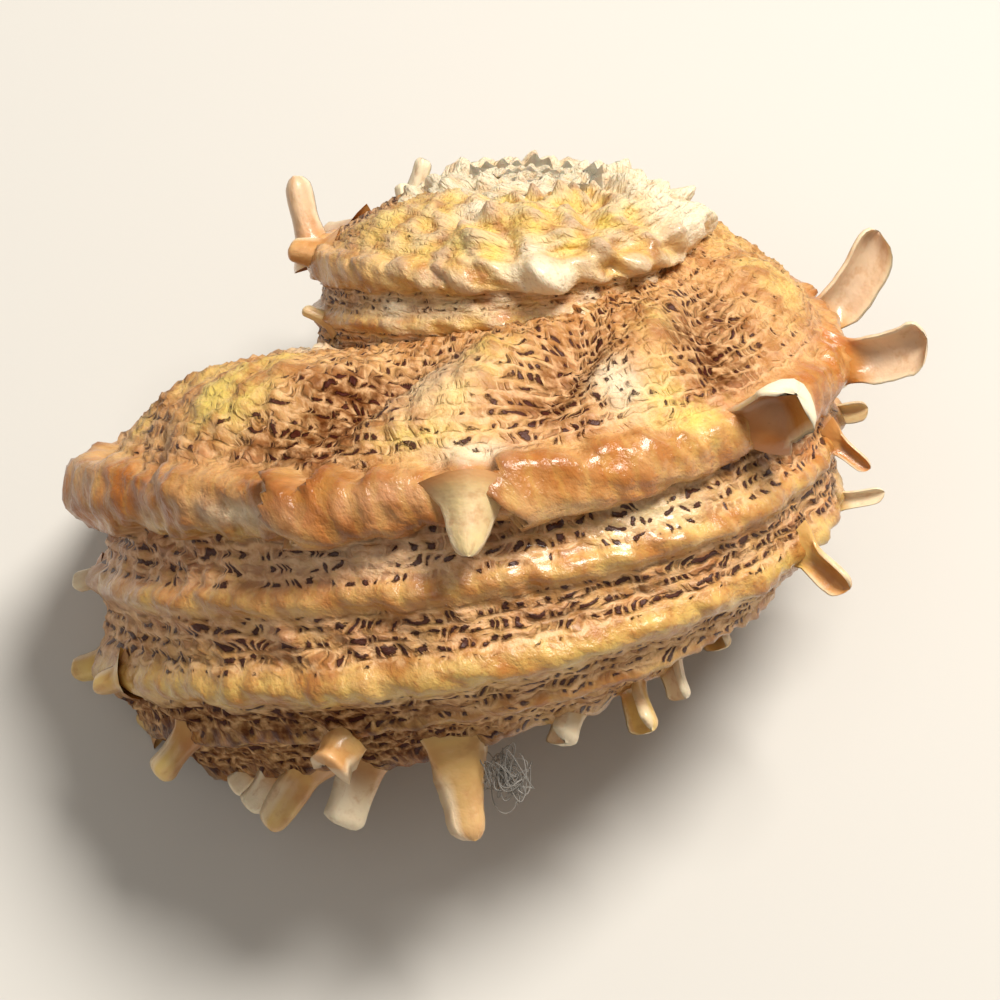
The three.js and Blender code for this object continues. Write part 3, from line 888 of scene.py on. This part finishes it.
def add_spine(surface, spine):
    shares = spine_shares(spine)
    wobble = RNG.uniform(-1, 1, 4)
    rings, whole, flipped = spine_rings(spine, shares, wobble)
    rows = len(shares)
    points = np.concatenate([*rings, rings[-1].mean(0, keepdims=True)])
    last = (rows - 1) * SPINE_SIDES
    tip = [(rows * SPINE_SIDES, last + i, last + (i + 1) % SPINE_SIDES) for i in range(SPINE_SIDES)]
    faces = np.concatenate([grid_faces(rows, SPINE_SIDES, True), tip])
    if flipped:
        faces = faces[:, ::-1]
    share = np.append(np.repeat(shares, SPINE_SIDES), 1.0)
    side = np.append(np.tile(np.linspace(0, 3, SPINE_SIDES), rows), 0.0)
    along = along_of(spine.turn) + 0.35 * share * whole
    coords = np.stack([along, KEEL_ACROSS[spine.row] + side, 0 * share], -1)
    surface.add(points, faces, coords, *spine_zones(spine, share, rows))


def add_spines(surface):
    for spine in SEEN_SPINES:
        add_spine(surface, spine)
    for row, start, end, pitch, shape, tint in REPEATED_SPINES:
        count = round((end - start) / pitch)
        for i in range(count + 1):
            turn = start + (end - start) * i / count
            scale = growth(turn) / growth(start) * RNG.uniform(0.85, 1.1)
            add_spine(surface, Spine(row, turn, *(np.array(shape) * scale), tint))


def add_lint(surface):
    """Cloth fibres caught beside the widest spine that the photo shows at the base."""
    spine = next(spine for spine in SEEN_SPINES if (spine.row, spine.turn) == LINT_SPINE)
    point, _ = section_at(spine.row)
    length, heading, _, _ = spine_axes(spine.turn, (spine.out, spine.up, spine.forward), 0.0)
    middle = on_coil(spine.turn, point[0], point[1]) + heading * length * 0.4 + np.array(LINT_BESIDE)
    t = np.linspace(0, 2 * np.pi, LINT_STEPS)[:, None]
    side = np.linspace(0, 2 * np.pi, LINT_SIDES, endpoint=False)
    for _ in range(LINT_COUNT):
        path = middle + RNG.uniform(-0.6, 0.6, 3)
        for turns in (1, 2, 3):
            swing = RNG.uniform(-1, 1, 3) * LINT_SIZE / turns
            path = path + swing * np.cos(turns * t * 0.9 + RNG.uniform(0, 6, 3))
        tangent = np.gradient(path, axis=0)
        first = np.cross(tangent, [0.3, 0.5, 0.8])
        first /= np.linalg.norm(first, axis=1, keepdims=True)
        second = np.cross(tangent, first)
        second /= np.linalg.norm(second, axis=1, keepdims=True)
        rings = [path + LINT_RADIUS * (np.cos(a) * first + np.sin(a) * second) for a in side]
        points = np.stack(rings, 1).reshape(-1, 3)
        blank = np.zeros((len(points), 3))
        surface.add(points, grid_faces(LINT_STEPS, LINT_SIDES, True), blank, blank, blank)


# The worn core of the spire: its radius, the drop from its middle to its rim, and its grid.
APEX_RADIUS = 4.3
APEX_DROP = 1.1
APEX_SIDES = 48
APEX_RINGS = 8


def add_apex(surface):
    angle = np.linspace(0, 2 * np.pi, APEX_SIDES, endpoint=False)
    points = []
    for i in range(APEX_RINGS + 1):
        share = i / APEX_RINGS
        radius = APEX_RADIUS * np.sin(share * np.pi / 2) + 0.02
        x, y = radius * np.cos(angle), radius * np.sin(angle)
        height = 0.1 - APEX_DROP * share**2 + 0.12 * SMALL(x, y)
        points.append(np.stack([x, y, height], -1))
    points = np.concatenate(points)
    faces = grid_faces(APEX_RINGS + 1, APEX_SIDES, True)[:, ::-1]
    coords = np.stack([points[:, 0], points[:, 1], 0 * points[:, 0]], -1)
    zone_a = np.tile([0.1, 0.15, 1.0], (len(points), 1))
    zone_b = np.tile([0.0, 0.1, 0.0], (len(points), 1))
    surface.add(points, faces, coords, zone_a, zone_b)


def keep_off_floor(surface):
    """Wears flat what would reach under the floor."""
    for i, points in enumerate(surface.points):
        if not len(points):
            continue
        placed = to_part(points)
        placed[:, 2] = np.maximum(placed[:, 2], 0.0)
        surface.points[i] = to_coil(placed)


class Nodes:
    """Short calls for building a node tree."""

    def __init__(self, material):
        material.use_nodes = True
        self.tree = material.node_tree
        self.tree.nodes.clear()

    def add(self, kind, inputs=None, **settings):
        node = self.tree.nodes.new(kind)
        for key, value in settings.items():
            setattr(node, key, value)
        for key, value in (inputs or {}).items():
            self.feed(node.inputs[key], value)
        return node

    def feed(self, socket, value):
        if isinstance(value, bpy.types.NodeSocket):
            self.tree.links.new(value, socket)
        else:
            socket.default_value = value

    def math(self, operation, a, b=0.0, c=0.0):
        return self.add("ShaderNodeMath", {0: a, 1: b, 2: c}, operation=operation).outputs[0]

    def times(self, a, b):
        return self.math("MULTIPLY", a, b)

    def minus(self, a, b):
        return self.math("SUBTRACT", a, b)

    def scaled(self, value, factor, plus):
        return self.math("MULTIPLY_ADD", value, factor, plus)

    def step(self, value, low, high):
        inputs = {0: value, 1: low, 2: high}
        return self.add("ShaderNodeMapRange", inputs, interpolation_type="SMOOTHSTEP").outputs[0]

    def mix(self, factor, a, b, blend="MIX"):
        node = self.add("ShaderNodeMix", data_type="RGBA", blend_type=blend)
        self.feed(node.inputs[0], factor)
        self.feed(node.inputs[6], a)
        self.feed(node.inputs[7], b)
        return node.outputs[2]

    def noise(self, vector, scale, detail, roughness):
        inputs = {"Vector": vector, "Scale": scale, "Detail": detail, "Roughness": roughness}
        return self.add("ShaderNodeTexNoise", inputs).outputs[0]

    def attribute(self, name):
        node = self.add("ShaderNodeAttribute", attribute_name=name)
        parts = self.add("ShaderNodeSeparateXYZ", {0: node.outputs["Vector"]})
        return parts.outputs[0], parts.outputs[1], parts.outputs[2]

    def finish(self, inputs):
        """The surface shader with these inputs, joined to the material's output."""
        shader = self.add("ShaderNodeBsdfPrincipled", inputs)
        self.add("ShaderNodeOutputMaterial", {0: shader.outputs[0]})


def colour(red, green, blue):
    """An sRGB colour, 0 to 255, as the linear values that a shader takes."""
    channels = [c / 255 for c in (red, green, blue)]
    linear = [c / 12.92 if c <= 0.04045 else ((c + 0.055) / 1.055) ** 2.4 for c in channels]
    return (*linear, 1.0)


# Colours of the shell.
OCHRE = colour(222, 174, 112)
OCHRE_DARK = colour(180, 124, 66)
FLESH = colour(207, 146, 106)
YELLOW = colour(230, 202, 106)
ORANGE = colour(190, 114, 44)
WORN_WHITE = colour(236, 222, 192)
# BEAD is also painted on edges as highlight, and GAP in crevices and between the beads as shade.
BEAD = colour(236, 194, 146)
GAP = colour(134, 72, 34)
PIT = colour(66, 22, 14)
# The brown that is multiplied in for painted shade and dirt.
SHADE_AND_DIRT_BROWN = colour(120, 84, 54)
NACRE = colour(226, 220, 208)

# Colours of the floor and of the lint.
FLOOR_TINT = colour(208, 206, 201)
LINT_TINT = colour(150, 146, 140)

# Noises over the surface as (scale for each mm, detail, roughness).
GRAIN = (2.4, 3.0, 0.65)
SPECK = (0.85, 3.0, 0.6)
MOTTLE = (0.3, 4.0, 0.6)
RELIEF_DEPTH = 0.0005


# What the parts of the shell's material share: the places, zones and patterns of the surface, with the
# painted shade and dirt.
Pattern = namedtuple(
    "Pattern",
    "inside dirt pink yellow white pits gloss orange grain speck mottle net thread bead wrinkle",
)


def shell_pattern(n):
    along, across, inside = n.attribute("place")
    # The third value of the net is the amount of painted shade and dirt.
    scale_place, thread_place, dirt = n.attribute("net")
    flat = n.add("ShaderNodeCombineXYZ", {0: along, 1: across}).outputs[0]
    grain, speck, mottle = (n.noise(flat, *noise) for noise in (GRAIN, SPECK, MOTTLE))
    pits, gloss, orange = n.attribute("zone_b")
    net = net_parts(n, scale_place, thread_place, pits, grain, speck)
    wave = n.scaled(across, 0.9, n.times(along, 3.7))
    wrinkle = n.math("SINE", n.scaled(speck, 7.0, wave))
    zones_here = (*n.attribute("zone_a"), pits, gloss, orange)
    return Pattern(inside, dirt, *zones_here, grain, speck, mottle, *net, wrinkle)


def shell_colour(n, p):
    """The zones' colours from the base up, with bead tops and gaps partly painted light and shade, then
    painted shade in crevices and painted highlights on edges, wear, painted shade and dirt, pits and the
    nacre inside.
    """
    base = n.mix(n.step(p.mottle, 0.38, 0.62), OCHRE_DARK, OCHRE)
    base = n.mix(n.times(p.pink, n.step(p.speck, 0.3, 0.6)), base, FLESH)
    base = n.mix(n.times(p.orange, n.step(p.mottle, 0.75, 0.35)), base, ORANGE)
    base = n.mix(n.times(p.yellow, n.step(p.mottle, 0.3, 0.62)), base, YELLOW)
    stripe = n.times(n.step(p.wrinkle, 0.2, 1.0), n.times(p.gloss, 0.14))
    base = n.mix(stripe, base, YELLOW)
    # Lighter bead tops and darker gaps between them: partly their own colour, partly painted light and
    # shade of the net's relief.
    pale = n.times(p.bead, n.step(p.speck, 0.42, 0.62))
    pale = n.times(pale, n.step(p.pits, 0.1, 0.5))
    base = n.mix(n.times(pale, 0.6), base, BEAD)
    gap = n.times(n.minus(1.0, p.bead), n.step(p.pits, 0.1, 0.6))
    base = n.mix(n.times(gap, 0.42), base, GAP)
    # Painted shade in crevices and painted highlights on edges, from the mesh's pointiness.
    crevice_shade, edge = crevice_shade_and_edge_highlight(n)
    base = n.mix(n.times(crevice_shade, 0.6), base, GAP)
    base = n.mix(n.times(edge, 0.3), base, BEAD)
    base = n.mix(p.white, base, WORN_WHITE)
    base = n.mix(n.times(n.step(p.grain, 0.5, 0.3), 0.4), base, OCHRE_DARK)
    # Painted shade and dirt, multiplied in as brown.
    base = n.mix(n.times(p.dirt, n.step(p.speck, 0.75, 0.3)), base, SHADE_AND_DIRT_BROWN, "MULTIPLY")
    base = n.mix(n.times(p.net, 0.95), base, PIT)
    return n.mix(p.inside, base, NACRE)


def shell_bump(n, p):
    """The threads, beads, wrinkles, pits and grain that are finer than the mesh."""
    netted = n.scaled(n.step(p.pits, 0.1, 0.7), 0.65, 0.35)
    netted = n.times(netted, n.minus(1.0, p.gloss))
    height = n.times(n.times(p.thread, netted), 0.22)
    height = n.scaled(n.times(p.bead, netted), 0.30, height)
    height = n.scaled(n.times(p.wrinkle, p.gloss), 0.06, height)
    height = n.scaled(p.net, -0.7, height)
    height = n.scaled(p.grain, 0.22, height)
    height = n.scaled(p.speck, 0.30, height)
    height = n.times(height, n.minus(1.0, p.inside))
    inputs = {"Height": height, "Strength": 1.0, "Distance": RELIEF_DEPTH}
    return n.add("ShaderNodeBump", inputs).outputs[0]


def shell_material():
    material = bpy.data.materials.new("shell_surface")
    n = Nodes(material)
    p = shell_pattern(n)
    rough = n.scaled(p.gloss, -0.22, 0.50)
    n.finish(
        {
            "Base Color": shell_colour(n, p),
            "Roughness": n.scaled(p.white, 0.12, rough),
            "Normal": shell_bump(n, p),
            "Subsurface Weight": 0.12,
            "Subsurface Radius": (1.0, 0.45, 0.2),
            "Subsurface Scale": 0.0008,
            "Specular IOR Level": n.scaled(p.dirt, -0.35, 0.42),
            "Coat Weight": n.times(p.gloss, 0.4),
            "Coat Roughness": 0.12,
        }
    )
    return material


def crevice_shade_and_edge_highlight(n):
    """How deep in a crevice a point is, and how far out on an edge, from 0 to 1: the amounts of painted
    shade and painted highlight.
    """
    bend = n.add("ShaderNodeNewGeometry").outputs["Pointiness"]
    return n.step(bend, 0.5, 0.42), n.step(bend, 0.51, 0.58)


def net_parts(n, scale_place, thread_place, pits, grain, speck):
    """The pits between the threads, the threads, and the beads on them, each from 0 to 1."""
    row = n.math("FLOOR", thread_place)
    shift = n.add("ShaderNodeTexWhiteNoise", {"W": row}, noise_dimensions="1D").outputs["Value"]
    place = n.math("ADD", scale_place, shift)
    column = n.math("FLOOR", place)
    cell = n.add("ShaderNodeCombineXYZ", {0: column, 1: row}).outputs[0]
    chance = n.add("ShaderNodeTexWhiteNoise", {"Vector": cell}, noise_dimensions="2D").outputs["Color"]
    parts = n.add("ShaderNodeSeparateColor", {0: chance})
    first, second, third = parts.outputs[0], parts.outputs[1], parts.outputs[2]
    x = n.minus(n.minus(place, column), 0.5)
    y = n.minus(n.minus(thread_place, row), 0.5)
    x = n.math("ADD", x, n.scaled(first, 0.3, -0.15))
    y_shift = n.scaled(third, 0.2, -0.1)
    x_size = n.scaled(second, 0.26, 0.16)
    y_size = n.scaled(third, 0.16, 0.14)
    x_part = n.math("POWER", n.math("ABSOLUTE", n.math("DIVIDE", x, x_size)), 2.0)
    y_part = n.math("POWER", n.math("ABSOLUTE", n.math("DIVIDE", n.math("ADD", y, y_shift), y_size)), 2.0)
    reach = n.math("SQRT", n.math("ADD", x_part, y_part))
    reach = n.scaled(n.minus(grain, 0.5), 2.2, reach)
    hole = n.step(reach, 1.15, 0.75)
    there = n.step(n.math("ADD", pits, n.scaled(speck, 1.0, -0.5)), 0.25, 0.45)
    there = n.times(there, n.math("LESS_THAN", second, n.scaled(pits, 0.7, 0.2)))
    thread = n.scaled(n.math("COSINE", n.times(y, 2 * np.pi)), -0.5, 0.5)
    hump = n.scaled(n.math("COSINE", n.times(x, 2 * np.pi)), -0.5, 0.5)
    bead = n.math("MAXIMUM", thread, n.times(hump, 0.85))
    return n.times(hole, there), thread, n.step(bead, 0.25, 0.9)


def plain_material(name, tint, roughness):
    material = bpy.data.materials.new(name)
    Nodes(material).finish({"Base Color": tint, "Roughness": roughness})
    return material


FLOOR_SIZE = 6.0


def make_floor():
    bpy.ops.mesh.primitive_plane_add(size=FLOOR_SIZE)
    floor = bpy.context.object
    floor.name = "floor"
    floor.data.materials.append(plain_material("pale_floor", FLOOR_TINT, 0.8))


# The camera, as the photo was taken: by the coil's own axes, in mm, then laid down with it. The
# scale is in pixels for each mm, and the centre is where the picture shows LOOK_AT, in pixels.
VIEW_ELEVATION = 15.0
VIEW_DISTANCE = 230.0
VIEW_SCALE = 14.0
VIEW_CENTRE = (525.0, 490.0)
LOOK_AT = (0.0, 0.0, -21.5)
PHOTO_SIZE = 1000.0
SENSOR = 36.0


def make_camera():
    tilt = np.radians(VIEW_ELEVATION)
    ahead = np.array([0, np.cos(tilt), -np.sin(tilt)])
    right = np.array([1.0, 0, 0])
    up = np.cross(right, ahead)
    focal = VIEW_SCALE * VIEW_DISTANCE
    shift_right = (VIEW_CENTRE[0] - PHOTO_SIZE / 2) / focal * VIEW_DISTANCE
    shift_up = (VIEW_CENTRE[1] - PHOTO_SIZE / 2) / focal * VIEW_DISTANCE
    place = np.array(LOOK_AT) - ahead * VIEW_DISTANCE - right * shift_right + up * shift_up
    axes = np.stack([right, up, -ahead], 1)
    turn = LAID_DOWN.to_3x3().normalized() @ Matrix(axes.tolist())
    data = bpy.data.cameras.new("camera")
    data.sensor_width = SENSOR
    data.lens = SENSOR * focal / PHOTO_SIZE
    data.clip_start = 0.01
    camera = bpy.data.objects.new("camera", data)
    camera.matrix_world = Matrix.Translation(to_part(place)) @ turn.to_4x4()
    bpy.context.scene.collection.objects.link(camera)
    bpy.context.scene.camera = camera
    return camera


# Soft lights: the direction as (right, up, toward the viewer) in the picture, the distance and
# the size in metres, the power in watts and the colour. Then the studio's even light.
Light = namedtuple("Light", "name direction distance size power tint")
LIGHTS = [
    Light("key", (0.38, 0.75, 0.85), 0.55, 0.2, 4.2, (1.0, 0.95, 0.88)),
    Light("fill", (-0.3, 0.1, 1.0), 0.8, 0.6, 0.9, (1.0, 0.94, 0.86)),
]
STUDIO_TINT = (1.0, 0.94, 0.86, 1.0)
STUDIO_STRENGTH = 0.25


def area_light(camera, made):
    data = bpy.data.lights.new(made.name, "AREA")
    data.shape = "DISK"
    data.size = made.size
    data.energy = made.power
    data.color = made.tint
    light = bpy.data.objects.new(made.name, data)
    target = Vector(to_part(np.array(LOOK_AT)))
    toward = camera.matrix_world.to_3x3() @ Vector(made.direction).normalized()
    light.location = target + toward * made.distance
    light.rotation_euler = toward.to_track_quat("Z", "Y").to_euler()
    bpy.context.scene.collection.objects.link(light)


def make_lights(camera):
    for light in LIGHTS:
        area_light(camera, light)
    world = bpy.data.worlds.new("studio")
    bpy.context.scene.world = world
    world.use_nodes = True
    background = world.node_tree.nodes["Background"]
    background.inputs[0].default_value = STUDIO_TINT
    background.inputs[1].default_value = STUDIO_STRENGTH


def make_piece(surface, name, material):
    keep_off_floor(surface)
    piece = surface.build(name)
    piece.data.materials.append(material)
    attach(piece, "root")
    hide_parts("shell")


def make_shell():
    """The shell as two meshes of one material, each under the limit of triangles."""
    material = shell_material()
    whorls, spines = Surface(), Surface()
    across, outer_section = add_whorls(whorls)
    add_hollow(whorls, across, outer_section)
    add_apex(whorls)
    add_spines(spines)
    make_piece(whorls, "shell_whorls", material)
    make_piece(spines, "shell_spines", material)


def make_lint():
    lint = Surface()
    add_lint(lint)
    keep_off_floor(lint)
    tangle = lint.build("lint")
    tangle.data.materials.append(plain_material("lint_fibre", LINT_TINT, 0.9))
    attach(tangle, "root")


make_shell()
make_lint()
make_floor()
make_lights(make_camera())

bpy.context.scene.view_settings.view_transform = "Standard"
